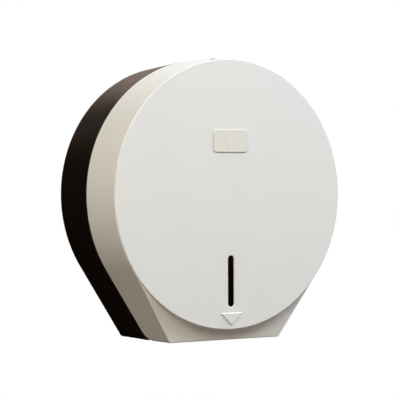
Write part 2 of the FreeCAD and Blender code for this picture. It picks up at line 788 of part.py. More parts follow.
def cam_nut():
    top = lock_low() - cam_thickness
    points = [(cam_nut_radius * math.cos(math.pi * i / 3), cam_nut_radius * math.sin(math.pi * i / 3))
              for i in range(6)]
    corners = [place(x, lock_depth + y, top) for x, y in points]
    nut = Part.Face(Part.makePolygon(corners + corners[:1])).extrude(Vector(0, 0, -cam_nut_thickness))
    return nut.cut(post(plug_tail_radius + screw_gap, 0, seam_radius, lock_depth))


nodes = {
    "rear_case": rear_case,
    "tear_strip_right": tear_strip,
    "tear_strip_left": lambda: mirrored(tear_strip()),
    "tear_strip_screws": strip_screws,
    "hinge_pin_right": hinge_pin,
    "hinge_pin_left": lambda: mirrored(hinge_pin()),
    "spindle_axle": spindle_axle,
    "axle_screws": axle_screws,
    "thrust_washer": thrust_washer,
    "retaining_washer": retaining_washer,
    "hub_screw": hub_screw,
    "roll_hub": roll_hub,
    "hub_cap": hub_cap,
    "front_cover": front_cover,
    "sight_window": sight_window,
    "window_clips": window_clips,
    "name_plate": name_plate,
    "lock_housing": lock_housing,
    "lock_nut": lock_nut,
    "lock_plug": lock_plug,
    "lock_cam": lock_cam,
    "cam_nut": cam_nut,
}

os.makedirs("parts", exist_ok=True)
for name, build in nodes.items():
    shape = build()
    solids = shape.Solids
    sound = shape.isValid() and all(s.isValid() and s.Volume > 0 for s in solids)
    print(f"{name}: {len(solids)} solid(s), {shape.Volume:.0f} mm3, sound {sound}")
    if len(solids) == 1:
        shape = solids[0]
    shape.exportStep(f"parts/{name}.step")
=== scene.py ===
import json
import math
import bpy
from mathutils import Matrix, Vector

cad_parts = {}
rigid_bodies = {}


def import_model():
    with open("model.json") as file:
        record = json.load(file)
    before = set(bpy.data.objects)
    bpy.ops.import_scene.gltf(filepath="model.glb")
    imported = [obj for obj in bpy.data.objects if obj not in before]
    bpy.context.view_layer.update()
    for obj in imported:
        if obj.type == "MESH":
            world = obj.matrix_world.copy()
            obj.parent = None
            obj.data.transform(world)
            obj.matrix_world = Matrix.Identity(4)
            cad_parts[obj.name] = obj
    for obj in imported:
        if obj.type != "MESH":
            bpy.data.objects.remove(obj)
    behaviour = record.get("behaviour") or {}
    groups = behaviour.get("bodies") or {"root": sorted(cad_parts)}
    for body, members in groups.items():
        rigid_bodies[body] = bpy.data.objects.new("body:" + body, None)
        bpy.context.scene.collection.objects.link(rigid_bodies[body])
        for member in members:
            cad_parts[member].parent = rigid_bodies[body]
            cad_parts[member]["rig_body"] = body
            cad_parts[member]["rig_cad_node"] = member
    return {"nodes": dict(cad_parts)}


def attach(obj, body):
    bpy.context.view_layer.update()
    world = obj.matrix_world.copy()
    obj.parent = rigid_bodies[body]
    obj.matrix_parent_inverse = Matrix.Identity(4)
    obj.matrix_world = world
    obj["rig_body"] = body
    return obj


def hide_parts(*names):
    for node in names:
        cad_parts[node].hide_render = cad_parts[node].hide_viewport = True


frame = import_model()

# A round wall dispenser for a jumbo toilet roll. The values below are in millimetres and
# depths are measured from the wall towards the front, so a depth is minus Y in the scene.
mm = 0.001
near = 0.01       # places closer than this count as one
merge = 0.002     # vertices closer than this become one
overlap = 0.8     # how far an added form reaches into what it joins
shy = 0.02        # keeps the faces of joined forms out of one plane
past = 1          # how far a cutter reaches beyond what it cuts
lockDepth, lockSeat = 90, 133.89      # where the key lock stands and its flange rests
pivot, pinHole = (70.5, -133), 2.05   # depth and height of the hinge axis, and the radius round its pins
sharpAngle = math.radians(35)
facing = (math.pi / 2, 0, 0)    # turns a primitive's axis to the front
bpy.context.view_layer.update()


def deselectAll():
    if bpy.context.object and bpy.context.object.mode != "OBJECT":
        bpy.ops.object.mode_set(mode="OBJECT")
    bpy.ops.object.select_all(action="DESELECT")


def activate(piece):
    deselectAll()
    piece.select_set(True)
    bpy.context.view_layer.objects.active = piece


def settle(name):
    # the primitive just added gets its name, and its place goes into its mesh
    piece = bpy.context.object
    piece.name = name
    bpy.ops.object.transform_apply(location=True, rotation=True, scale=True)
    return piece


def addDrum(name, radius, back, front, x=0, z=0, sides=96, tip=None):
    # a round form along the depth, tapered where it has a tip radius
    deselectAll()
    bpy.ops.mesh.primitive_cone_add(
        vertices=sides, radius1=radius * mm, radius2=(radius if tip is None else tip) * mm,
        depth=(front - back) * mm, location=(x * mm, -(back + front) / 2 * mm, z * mm), rotation=facing)
    return settle(name)


def addRod(name, radius, length, place, turned, sides):
    deselectAll()
    bpy.ops.mesh.primitive_cylinder_add(vertices=sides, radius=radius * mm, depth=length * mm,
        location=[c * mm for c in place], rotation=turned)
    return settle(name)


def addPost(name, radius, low, high, sides=96, depth=lockDepth, x=0):
    # an upright round form
    return addRod(name, radius, high - low, (x, -depth, (low + high) / 2), (0, 0, 0), sides)


def addBar(name, radius, ends, sides=64):
    # a round form from left to right on the hinge axis
    left, right = ends
    return addRod(name, radius, right - left, ((left + right) / 2, -pivot[0], pivot[1]), (0, math.pi / 2, 0), sides)


def addBlock(name, left, right, back, front, low, high):
    deselectAll()
    bpy.ops.mesh.primitive_cube_add(
        size=1, location=((left + right) / 2 * mm, -(back + front) / 2 * mm, (low + high) / 2 * mm),
        scale=((right - left) * mm, (front - back) * mm, (high - low) * mm))
    return settle(name)


def pick(piece, kind, test):
    # selects faces by centre and normal, edges by their two ends or vertices by place and normal,
    # in millimetres, and opens edit mode
    activate(piece)
    mesh = piece.data
    for parts in (mesh.vertices, mesh.edges, mesh.polygons):
        parts.foreach_set("select", [False] * len(parts))
    spots = [v.co / mm for v in mesh.vertices]
    found = 0
    for part in {"FACE": mesh.polygons, "EDGE": mesh.edges, "VERT": mesh.vertices}[kind]:
        if kind == "FACE":
            part.select = bool(test(part.center / mm, part.normal))
        elif kind == "EDGE":
            part.select = bool(test(*(spots[i] for i in part.vertices)))
        else:
            part.select = bool(test(spots[part.index], part.normal))
        found += part.select
    bpy.ops.object.mode_set(mode="EDIT")
    bpy.ops.mesh.select_mode(type=kind)
    return found


def pickAll(piece):
    pick(piece, "FACE", lambda c, n: True)


def frontEdges(depth):
    return lambda a, b: max(a.y, b.y) < near - depth


def backEdges(depth):
    return lambda a, b: min(a.y, b.y) > -depth - near


def topEdges(z):
    return lambda a, b: min(a.z, b.z) > z - near


def footEdges(z):
    return lambda a, b: max(a.z, b.z) < z + near


def across(side, start, end):
    # a stretch from left to right, on the right for side 1 and mirrored for side -1
    return sorted((side * start, side * end))


def openEdit(piece):
    activate(piece)
    bpy.ops.object.mode_set(mode="EDIT")
    bpy.ops.mesh.select_all(action="SELECT")


def closeEdit():
    bpy.ops.object.mode_set(mode="OBJECT")


def soften(piece, width, segments, test):
    found = pick(piece, "EDGE", test)
    if found:
        bpy.ops.mesh.bevel(offset=width * mm, offset_type="OFFSET", segments=segments, profile=0.5,
            affect="EDGES", clamp_overlap=True)
    closeEdit()
    return found


def combine(piece, tool, how):
    step = piece.modifiers.new("combine", "BOOLEAN")
    step.operation, step.solver, step.object = how, "EXACT", tool
    activate(piece)
    bpy.ops.object.modifier_apply(modifier=step.name)
    bpy.data.objects.remove(tool)


def cutAway(piece, *tools):
    for tool in tools:
        combine(piece, tool, "DIFFERENCE")


def addOn(piece, *tools):
    for tool in tools:
        combine(piece, tool, "UNION")


def keepInside(piece, tool):
    combine(piece, tool, "INTERSECT")


def tidyMesh(piece, flatAngle=0.2):
    openEdit(piece)
    bpy.ops.mesh.remove_doubles(threshold=merge * mm)
    bpy.ops.mesh.dissolve_limited(angle_limit=math.radians(flatAngle))
    bpy.ops.mesh.dissolve_degenerate(threshold=merge * mm)
    bpy.ops.mesh.normals_make_consistent(inside=False)
    closeEdit()


def smoothSkin(piece):
    activate(piece)
    bpy.ops.object.shade_smooth_by_angle(angle=sharpAngle)
    step = piece.modifiers.new("evenShading", "WEIGHTED_NORMAL")
    step.keep_sharp, step.weight = True, 60
    bpy.ops.object.modifier_apply(modifier=step.name)


def openEdges(piece):
    uses = {}
    for face in piece.data.polygons:
        for key in face.edge_keys:
            uses[key] = uses.get(key, 0) + 1
    return sum(1 for n in uses.values() if n != 2)


def finishPiece(piece, node, body, material):
    smoothSkin(piece)
    piece.data.materials.clear()
    piece.data.materials.append(material)
    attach(piece, body)
    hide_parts(node)
    print("made", piece.name, len(piece.data.polygons), "faces, open edges", openEdges(piece))


outline = dict(depth=110.5, seam=58, seamGap=0.5, seamRadius=135, wallRadius=131, panelRadius=134,
    sideLean=56.7, baseDrop=145, baseCorner=3, wall=2.5, backWall=3, roomCorner=0.5, edgeRound=0.7,
    ringSides=288, cornerSides=48)
lean = math.radians(outline["sideLean"])
faceDepth, seam, drop, corner, wall = (outline[k] for k in ("depth", "seam", "baseDrop", "baseCorner", "wall"))
wallRadius, seamRadius, panelRadius = (outline[k] for k in ("wallRadius", "seamRadius", "panelRadius"))
reach = seamRadius + past    # further out than any side of the body


def bodyRadius(depth):
    if depth <= seam:
        return wallRadius + (seamRadius - wallRadius) * depth / seam
    return seamRadius + (panelRadius - seamRadius) * ((depth - seam) / (faceDepth - seam))


def bodyForm(name, rows):
    # each row has a depth, an inset, a drop and the radius of its lower corners: it gives a circle
    # and two small corner circles, and one skin goes round all of them
    deselectAll()
    form = None
    for depth, inset, fall, bend in rows:
        radius = bodyRadius(depth) - inset
        bendX = (radius - bend - (fall - bend) * math.cos(lean)) / math.sin(lean)
        rings = [(radius, 0, 0, outline["ringSides"])]
        rings += [(bend, side * bendX, bend - fall, outline["cornerSides"]) for side in (-1, 1)]
        for size, x, z, sides in rings:
            bpy.ops.mesh.primitive_circle_add(vertices=sides, radius=size * mm, rotation=facing,
                location=(x * mm, -depth * mm, z * mm))
            if form is None:
                form = settle(name)
                bpy.ops.object.mode_set(mode="EDIT")
    bpy.ops.mesh.select_all(action="SELECT")
    bpy.ops.mesh.convex_hull(join_triangles=False)
    closeEdit()
    tidyMesh(form)
    return form


def roundedRows(start, towards):
    # the rows of a rounded edge, from the open end inwards
    size, steps = outline["edgeRound"], 4
    rows = []
    for i in range(steps + 1):
        turn = math.pi / 2 * i / steps
        inset = size * (1 - math.sin(turn))
        rows.append((start + towards * size * (1 - math.cos(turn)), inset, drop - inset, corner - inset))
    return rows


cover = dict(panelRound=0.9, panelLand=0.2, panelInset=0.25,
    apronSetback=11.1, apronLean=9, apronRound=2, apronFoot=0.6, apronEnd=5, apronHigh=-100,
    heelRadius=12.03, heelBack=1.5, pinEnd=70.14, bossRadius=5.2, bossStart=62.1,
    # the slot has a width, a top and a foot, and the plate's bed a width, a height and a corner
    slot=(7.5, -60.5, -111.5), slotRound=0.7, plateSize=(41.4, 22.9, 3.7), plateZ=52.8, plateDepth=0.5,
    arrowWidth=25.4, arrowHeight=12.7, arrowTop=-117.3, arrowRelief=1, arrowRoot=0.3,
    arrowSlope=0.4, arrowCentre=0.38, arrowRound=0.22,
    stakeRadius=1.5, stakeEnd=104.4, stakeZ=(-54, -118), stakeRound=0.4,
    lockFlange=9.15, lockHole=7.15, lockFloor=110,
    padRadius=12.5, padZ=130.19)
apronTilt = math.radians(cover["apronLean"])


def apronCut(piece, inset):
    # everything in front of the sloping apron's plane goes
    pickAll(piece)
    back = (faceDepth - cover["apronSetback"] - inset / math.cos(apronTilt)) * mm
    bpy.ops.mesh.bisect(plane_co=(0, -back, -drop * mm), plane_no=(0, -math.cos(apronTilt), -math.sin(apronTilt)),
        use_fill=True, clear_outer=True)
    closeEdit()


def onApron(spot):
    return abs(-spot.y - (faceDepth - cover["apronSetback"] + (spot.z + drop) * math.tan(apronTilt))) < near


def panelDrum(name, front, inset):
    back = faceDepth - 2 * cover["apronSetback"]
    radii = [bodyRadius(d) - cover["panelInset"] - inset for d in (back, front)]
    return addDrum(name, radii[0], back, front, tip=radii[1], sides=outline["ringSides"])


def addPill(name, width, top, low, back, front, sides=64):
    # an upright slot form: a drum whose two halves are drawn apart
    pill = addDrum(name, width / 2, back, front, sides=sides)
    reach = (top - low - width) / 2
    for side in (1, -1):
        pick(pill, "VERT", lambda p, n, s=side: s * p.z > near)
        bpy.ops.transform.translate(value=(0, 0, side * reach * mm))
        closeEdit()
    pickAll(pill)
    bpy.ops.transform.translate(value=(0, 0, (top + low) / 2 * mm))
    closeEdit()
    return pill


def addPlate(name, width, height, bend, back, front, z, segments=10):
    form = addBlock(name, -width / 2, width / 2, back, front, z - height / 2, z + height / 2)
    soften(form, bend, segments, lambda a, b: abs(a.y - b.y) > (front - back) * 0.5)
    return form


def addArrow(name):
    # a flat triangle, extruded and drawn in, so that its border slopes
    half, tall, top = cover["arrowWidth"] / 2, cover["arrowHeight"], cover["arrowTop"]
    root, relief, run = cover["arrowRoot"], cover["arrowRelief"], cover["arrowSlope"]
    deselectAll()
    bpy.ops.mesh.primitive_circle_add(vertices=3, radius=mm, fill_type="NGON", rotation=facing)
    tip = settle(name)
    corners = ((-half, top), (half, top), (0, top - tall))
    tip.data.vertices.foreach_set("co", [c * mm for x, z in corners for c in (x, -(faceDepth - root), z)])
    pickAll(tip)
    for rise in (root, relief):
        bpy.ops.mesh.extrude_region_move(TRANSFORM_OT_translate={"value": (0, -rise * mm, 0)})
    bpy.ops.mesh.select_all(action="SELECT")
    bpy.ops.mesh.normals_make_consistent(inside=False)
    closeEdit()
    front = -(faceDepth + relief)
    pick(tip, "FACE", lambda c, n: abs(c.y - front) < near)
    bpy.ops.transform.resize(value=(1 - 2.35 * run / half / 1.05, 1, 1 - 3.3 * run / tall),
        center_override=(0, front * mm, (top - tall * cover["arrowCentre"]) * mm))
    closeEdit()
    soften(tip, cover["arrowRound"], 3, lambda a, b: min(-a.y, -b.y) > faceDepth - 0.05 or
        (abs(a.y - b.y) > relief / 2 and max(-a.y, -b.y) > faceDepth + relief / 2))
    return tip


def makeCover():
    start, inside = seam + outline["seamGap"], faceDepth - wall
    shelf = faceDepth - cover["panelRound"] - cover["panelLand"]
    isFront, isFoot = frontEdges(faceDepth), footEdges(-drop)
    piece = bodyForm("frontCover", roundedRows(start, 1) + [(shelf, 0, drop, corner)])
    apronCut(piece, 0)
    limit = -panelRadius * math.cos(lean) - cover["apronEnd"]
    soften(piece, cover["apronRound"], 6, lambda a, b: onApron(a) and onApron(b) and max(a.z, b.z) < limit
        and not (abs(a.z - b.z) < near and a.z > cover["apronHigh"]))
    soften(piece, cover["apronFoot"], 4, lambda a, b: isFoot(a, b) and onApron(a) and onApron(b))
    panel = panelDrum("panel", faceDepth, 0)
    soften(panel, cover["panelRound"], 8, isFront)
    addOn(piece, panel)
    print("cover outside: open edges", openEdges(piece))

    room = bodyForm("coverRoom", [(depth, wall, drop + wall, outline["roomCorner"])
        for depth in (start - past, inside - cover["panelRound"])])
    apronCut(room, wall)
    addOn(room, panelDrum("roomFront", inside, wall))
    cutAway(piece, room)

    heel = addBlock("heel", -reach, reach, start - cover["heelBack"], pivot[0], -drop - past, pivot[1])
    cutAway(heel, addBar("heelRound", cover["heelRadius"], (-reach - past, reach + past), 160))
    cutAway(piece, heel)

    lining = [(depth, wall - overlap, drop, corner) for depth in (start, inside)]
    for side in (1, -1):
        boss = addBar("hingeBoss", cover["bossRadius"], across(side, cover["bossStart"], reach))
        keepInside(boss, bodyForm("bossLimit", lining))
        addOn(piece, boss)
        cutAway(piece, addBar("pinHole", pinHole, across(side, cover["bossStart"] - past, cover["pinEnd"]), 48))
    for z in cover["stakeZ"]:
        stake = addDrum("stake", cover["stakeRadius"], cover["stakeEnd"], inside + overlap, z=z, sides=40)
        soften(stake, cover["stakeRound"], 3, backEdges(cover["stakeEnd"]))
        addOn(piece, stake)
    pad = addPost("lockPad", cover["padRadius"], cover["padZ"], seamRadius)
    keepInside(pad, bodyForm("padLimit", lining))
    addOn(piece, pad, addArrow("arrow"))

    cutAway(piece, addPill("slot", *cover["slot"], inside - past, faceDepth + past))
    cutAway(piece, addPlate("plateBed", *cover["plateSize"], faceDepth - cover["plateDepth"], faceDepth + past,
        cover["plateZ"]))
    cutAway(piece, addPost("lockSeat", cover["lockFlange"], lockSeat, reach))
    cutAway(piece, addPost("lockHole", cover["lockHole"], cover["lockFloor"], seamRadius))
    tidyMesh(piece)
    width, top, low = cover["slot"]
    found = soften(piece, cover["slotRound"], 4, lambda a, b: isFront(a, b)
        and max(abs(a.x), abs(b.x)) < width / 2 + near and low - 0.1 < min(a.z, b.z) and max(a.z, b.z) < top + 0.1)
    print("slot lip edges", found)
    return piece


case = dict(tongueRoot=51, tongueReach=62, tongueInset=3, tongueWall=1.4, tongueLow=-60.12, tongueTip=0.5,
    tongueLap=1, cheekInner=58.5, cheekOuter=61.5, cheekBack=2.2,
    eyeRadius=10, toeTop=-137, toeLap=1, ledgeFront=93, ledgeTop=-141, ledgeLap=0.5,
    exitHalf=46, exitBack=7, exitFront=115, exitTop=-139, webBack=55.5,
    keeperOuter=32, keeperWall=3, keeperHalf=8, keeperLow=122.97, keeperTop=131.2,
    keeperSpan=(100, 140), keeperRound=0.4, ribCount=6, ribHalf=1, ribTop=6, ribStart=19.2,
    ribEnd=129.5, ribRound=0.35, hoopRadius=96, hoopWall=2, stemRadius=20, stemTop=6.01, stemRound=0.5,
    padRadius=7, padTop=7, padRound=0.5, wallHoles=(50, 60), wallHole=2.75,
    screwRing=12.5, screwHole=1.5, screwSpan=(1, 8), stripScrewX=51.06, stripScrewDepths=(21, 77),
    stripScrewHole=1.45, stripScrewSpan=(-144, -140))


def turnRound(piece, degrees):
    piece.data.transform(Matrix.Rotation(math.radians(degrees), 4, "Y"))


def makeRearCase():
    back = outline["backWall"]
    root, tip, inset = case["tongueRoot"], case["tongueReach"], case["tongueInset"]
    piece = bodyForm("rearCase", roundedRows(0, 1) + roundedRows(seam, -1))
    cutAway(piece, bodyForm("caseRoom", [(depth, wall, drop - wall, outline["roomCorner"])
        for depth in (back, seam + past)]))

    tongue = bodyForm("tongue", [(depth, wall - overlap, drop, corner) for depth in (root, seam - shy)])
    addOn(tongue, bodyForm("tongueLip", [(seam - case["tongueLap"], inset, drop, corner),
        (tip - case["tongueTip"], inset, drop, corner), (tip, inset + case["tongueTip"], drop, corner)]))
    inner = inset + case["tongueWall"]
    cutAway(tongue, bodyForm("tongueRoom", [(depth, inner, drop, 2) for depth in (root - past, tip + past)]))
    cutAway(tongue, addBlock("tongueEnds", -reach, reach, 0, 80, -drop - past, case["tongueLow"]))
    addOn(piece, tongue)
    print("case shell and tongue, open edges", openEdges(piece))

    isRibTop = frontEdges(case["ribTop"])
    for i in range(case["ribCount"]):
        rib = addBlock("rib", case["ribStart"], case["ribEnd"], back - overlap, case["ribTop"],
            -case["ribHalf"], case["ribHalf"])
        soften(rib, case["ribRound"], 2, lambda a, b: isRibTop(a, b) and abs(a.x - b.x) > 5)
        turnRound(rib, 360 / case["ribCount"] * i)
        addOn(piece, rib)
    hoop = addDrum("hoop", case["hoopRadius"], back - overlap, case["ribTop"] - shy, sides=192)
    cutAway(hoop, addDrum("hoopRoom", case["hoopRadius"] - case["hoopWall"], 0, 10, sides=192))
    addOn(piece, hoop)
    holeX, holeZ = case["wallHoles"]
    for x, z in ((-holeX, -holeZ), (-holeX, holeZ), (holeX, -holeZ), (holeX, holeZ)):
        pad = addDrum("wallPad", case["padRadius"], back - overlap, case["padTop"], x, z, sides=64)
        soften(pad, case["padRound"], 3, frontEdges(case["padTop"]))
        addOn(piece, pad)
        cutAway(piece, addDrum("wallHole", case["wallHole"], -past, 10, x, z, sides=48))
    stem = addDrum("stem", case["stemRadius"], back - overlap, case["stemTop"])
    soften(stem, case["stemRound"], 3, frontEdges(case["stemTop"]))
    addOn(piece, stem)
    for i in range(3):
        angle = math.pi / 2 + 2 * math.pi * i / 3
        cutAway(piece, addDrum("axleScrewHole", case["screwHole"], *case["screwSpan"],
            case["screwRing"] * math.cos(angle), case["screwRing"] * math.sin(angle), sides=32))
    print("case back, open edges", openEdges(piece))

    ring = addPost("keeper", case["keeperOuter"], case["keeperLow"], case["keeperTop"], 192)
    cutAway(ring, addPost("keeperRoom", case["keeperOuter"] - case["keeperWall"], *case["keeperSpan"], 192))
    keepInside(ring, addBlock("keeperSides", -case["keeperHalf"], case["keeperHalf"], 0, lockDepth,
        *case["keeperSpan"]))
    soften(ring, case["keeperRound"], 3, footEdges(case["keeperLow"]))
    addOn(piece, ring)

    lining = [(depth, wall - overlap, drop, corner) for depth in (back, seam - shy)]
    ledge, top = case["ledgeFront"], pivot[1] + case["eyeRadius"]
    for side in (1, -1):
        sides = across(side, case["cheekInner"], case["cheekOuter"])
        cheek = addBlock("cheek", *sides, case["cheekBack"], pivot[0], -drop, top)
        addOn(cheek, addBar("eye", case["eyeRadius"], sides, 96))
        addOn(cheek, addBlock("toe", *sides, pivot[0] - case["toeLap"], ledge, -drop, case["toeTop"]))
        addOn(piece, cheek)
        sides = across(side, case["exitHalf"] - case["ledgeLap"], case["cheekInner"] + overlap)
        addOn(piece, addBlock("ledge", *sides, case["cheekBack"], ledge, -drop, case["ledgeTop"]))
        web = addBlock("web", *across(side, case["cheekInner"] + overlap, reach), case["webBack"], seam - shy,
            -drop, top)
        keepInside(web, bodyForm("webLimit", lining))
        addOn(piece, web)
        sides = across(side, case["cheekInner"] - past, case["cheekOuter"] + past)
        cutAway(piece, addBar("pinHole", pinHole, sides, 48))
        for depth in case["stripScrewDepths"]:
            cutAway(piece, addPost("stripHole", case["stripScrewHole"], *case["stripScrewSpan"], 32, depth,
                side * case["stripScrewX"]))
    cutAway(piece, addBlock("exit", -case["exitHalf"], case["exitHalf"], case["exitBack"], case["exitFront"],
        -drop - past, case["exitTop"]))
    tidyMesh(piece)
    print("case exit, open edges", openEdges(piece))
    return piece


hub = dict(back=11.15, flangeBack=11.55, flangeFace=14.05, flangeRadius=40, flangeRound=0.8,
    barrelRadius=21, barrelWall=2.2, barrelFront=91.35, barrelRound=0.5, tubeRadius=10, tubeFront=95.35,
    bore=6.05, webs=4, webHalf=1.2, webFront=85.35, webBack=0.5,
    fingerX=6.93, fingerSlot=2, fingerLength=30, fingerReach=25,
    holeRadius=5, holeRing=30.5, holeRound=0.3, holes=6,
    capLength=11, capBase=20.8, capNose=12, capWall=1.8, capFoot=0.4, capLap=0.2,
    skirt=18.6, skirtWall=1.5, skirtLength=5, skirtLap=0.5,
    grooves=5, grooveStart=2.2, groovePitch=1.5, grooveWidth=0.5, grooveDepth=0.35)


def makeRollHub():
    back, face, front = hub["flangeBack"], hub["flangeFace"], hub["barrelFront"]
    room = hub["barrelRadius"] - hub["barrelWall"]
    barrel = addDrum("rollHub", hub["barrelRadius"], back, front, sides=192)
    soften(barrel, hub["barrelRound"], 3, frontEdges(front))
    cutAway(barrel, addDrum("barrelRoom", room, face, front + past, sides=160))
    for side in (1, -1):
        slot = across(side, hub["fingerX"] - hub["fingerSlot"] / 2, hub["fingerX"] + hub["fingerSlot"] / 2)
        cutAway(barrel, addBlock("fingerSlot", *slot, front - hub["fingerLength"], front + past,
            -hub["fingerReach"], hub["fingerReach"]))
    flange = addDrum("flange", hub["flangeRadius"], back, face, sides=192)
    soften(flange, hub["flangeRound"], 4, lambda a, b: abs(a.y - b.y) < near)
    for i in range(hub["holes"]):
        turn = 2 * math.pi * i / hub["holes"]
        cutAway(flange, addDrum("flangeHole", hub["holeRadius"], 5, 20, hub["holeRing"] * math.cos(turn),
            -hub["holeRing"] * math.sin(turn), sides=48))
    soften(flange, hub["holeRound"], 2, lambda a, b: abs(a.y - b.y) < near
        and 25 < a.xz.length < 36 and 25 < b.xz.length < 36)
    addOn(barrel, flange)
    addOn(barrel, addDrum("tube", hub["tubeRadius"], hub["back"], hub["tubeFront"]))
    for i in range(hub["webs"]):
        web = addBlock("web", hub["tubeRadius"] - overlap, room + overlap, back + hub["webBack"], hub["webFront"],
            -hub["webHalf"], hub["webHalf"])
        turnRound(web, 45 + 360 / hub["webs"] * i)
        addOn(barrel, web)
    cutAway(barrel, addDrum("bore", hub["bore"], 5, 100, sides=72))
    tidyMesh(barrel)
    return barrel


def makeHubCap():
    base, tip = hub["capBase"], hub["capNose"]
    start, end = hub["barrelFront"], hub["barrelFront"] + hub["capLength"]
    nose = addDrum("hubCap", base, start, end, tip=tip, sides=192)
    soften(nose, hub["capWall"], 6, frontEdges(end))
    soften(nose, hub["capFoot"], 2, backEdges(start))
    inner, low = hub["skirt"] - hub["skirtWall"], start - hub["skirtLength"]
    addOn(nose, addDrum("skirt", hub["skirt"], low, start + hub["skirtLap"], sides=160))
    cutAway(nose, addDrum("capBore", inner, low - past, start + hub["capLap"], sides=160))
    cutAway(nose, addDrum("capRoom", inner, start, end - hub["capWall"], tip=tip - hub["capWall"], sides=160))
    for i in range(hub["grooves"]):
        # shallow finger grooves round the nose
        depth = start + hub["grooveStart"] + hub["groovePitch"] * i
        radius = base + (tip - base) * (depth - start) / hub["capLength"]
        floor = radius - hub["grooveDepth"]
        cutter = addDrum("groove", radius + 2, depth, depth + hub["grooveWidth"], sides=192)
        cutAway(cutter, addDrum("grooveFloor", floor + 0.3, depth - past, depth + past, sides=192, tip=floor - 0.5))
        cutAway(nose, cutter)
    tidyMesh(nose)
    return nose


plate = dict(size=(41, 22.5, 3.5), z=52.8, back=110, front=111.4, edge=0.6, border=1.2,
    slope=0.5, dish=0.05)


def makeNamePlate():
    front = plate["front"]
    piece = addPlate("namePlate", *plate["size"], plate["back"], front, plate["z"], 12)
    soften(piece, plate["edge"], 5, frontEdges(front))
    # the bare face lies a touch below a narrow border
    pick(piece, "FACE", lambda c, n: c.y < near - front and n.y < -0.99)
    for width, depth in ((plate["border"], 0), (plate["slope"], -plate["dish"]), (plate["slope"], 0)):
        bpy.ops.mesh.inset(thickness=width * mm, depth=depth * mm)
    closeEdit()
    return piece


# the flange and the rib that stands in the slot each have a width, a top and a foot
window = dict(flange=(15.1, -49, -123), back=106.8, face=108, flangeRound=0.3,
    rib=(7.26, -60.62, -111.38), ribFront=109.3, ribEdge=0.4, ribLap=0.4, holeRadius=1.55)


def makeSightWindow():
    piece = addPill("sightWindow", *window["flange"], window["back"], window["face"], sides=96)
    soften(piece, window["flangeRound"], 2, backEdges(window["back"]))
    rib = addPill("lens", *window["rib"], window["face"] - window["ribLap"], window["ribFront"], sides=80)
    soften(rib, window["ribEdge"], 4, frontEdges(window["ribFront"]))
    addOn(piece, rib)
    for z in cover["stakeZ"]:
        cutAway(piece, addDrum("stakeHole", window["holeRadius"], 100, 109, z=z, sides=48))
    tidyMesh(piece)
    return piece


lock = dict(flangeRadius=9, flangeThickness=1.2, flangeRound=0.85,
    bodyRadius=7, bodyLow=121.92, bodyRound=0.4, lap=0.2, bore=5.05, boreRound=0.25, boreSpan=(100, 140),
    threads=9, threadStart=0.9, threadPitch=1.1, threadWidth=0.5, threadDepth=0.35,
    plugRadius=5, plugLow=121.77, plugRecess=0.2, plugRound=0.3, tailRadius=2.5, tailLow=116.97,
    keyLength=6.4, keyWidth=1.3, keyDepth=5, wardStart=1.1, wardEnd=2, wardBack=1.15, wardFront=0.2)


def makeLockHousing():
    low, radius, top = lock["bodyLow"], lock["bodyRadius"], lockSeat + lock["flangeThickness"]
    isTop = topEdges(top)
    piece = addPost("lockHousing", lock["flangeRadius"], lockSeat, top, 128)
    soften(piece, lock["flangeThickness"] * lock["flangeRound"], 6, isTop)
    barrel = addPost("lockBarrel", radius, low, lockSeat + lock["lap"])
    soften(barrel, lock["bodyRound"], 2, footEdges(low))
    for i in range(lock["threads"]):
        start = low + lock["threadStart"] + lock["threadPitch"] * i
        groove = addPost("thread", radius + past, start, start + lock["threadWidth"])
        cutAway(groove, addPost("threadFloor", radius - lock["threadDepth"], start - past, start + past))
        cutAway(barrel, groove)
    addOn(piece, barrel)
    cutAway(piece, addPost("plugBore", lock["bore"], *lock["boreSpan"]))
    soften(piece, lock["boreRound"], 2, lambda a, b: isTop(a, b) and
        max(math.hypot(p.x, p.y + lockDepth) for p in (a, b)) < lock["bore"] + 0.1)
    tidyMesh(piece)
    return piece


def makeLockPlug():
    half, width = lock["keyLength"] / 2, lock["keyWidth"]
    top = lockSeat + lock["flangeThickness"] - lock["plugRecess"]
    piece = addPost("lockPlug", lock["plugRadius"], lock["plugLow"], top)
    soften(piece, lock["plugRound"], 3, topEdges(top))
    tail = addPost("plugTail", lock["tailRadius"], lock["tailLow"], lock["plugLow"] + lock["lap"], 48)
    soften(tail, lock["plugRound"], 2, footEdges(lock["tailLow"]))
    addOn(piece, tail)
    upright = top - lock["keyDepth"], top + past
    keyway = addBlock("keyway", -half, half, lockDepth - width / 2, lockDepth + width / 2, *upright)
    addOn(keyway, addBlock("keywayWard", -half + lock["wardStart"], -half + lock["wardEnd"],
        lockDepth - lock["wardBack"], lockDepth + lock["wardFront"], *upright))
    cutAway(piece, keyway)
    tidyMesh(piece)
    return piece


def dressNode(node, name, body, material, edge):
    # a merged copy of the solid with its sharp edges broken
    activate(frame["nodes"][node])
    bpy.ops.object.duplicate()
    piece = bpy.context.object
    piece.name = name
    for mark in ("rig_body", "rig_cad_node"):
        if mark in piece:
            del piece[mark]
    piece.parent = None
    if piece.data.has_custom_normals:
        bpy.ops.mesh.customdata_custom_splitnormals_clear()
    tidyMesh(piece, 1)
    step = piece.modifiers.new("brokenEdges", "BEVEL")
    step.width, step.segments, step.limit_method, step.angle_limit = edge * mm, 2, "ANGLE", sharpAngle
    bpy.ops.object.modifier_apply(modifier=step.name)
    finishPiece(piece, node, body, material)


def wire(tree, value, socket):
    # an output is linked to the socket and anything else becomes its value
    if hasattr(value, "is_output"):
        tree.links.new(value, socket)
    elif value is not None:
        socket.default_value = value


def feed(tree, node, **values):
    # each name is an input's, with underscores for spaces, or else a property's
    for name, value in values.items():
        label = name.replace("_", " ")
        if label in node.inputs:
            wire(tree, value, node.inputs[label])
        else:
            setattr(node, name, value)
    return node


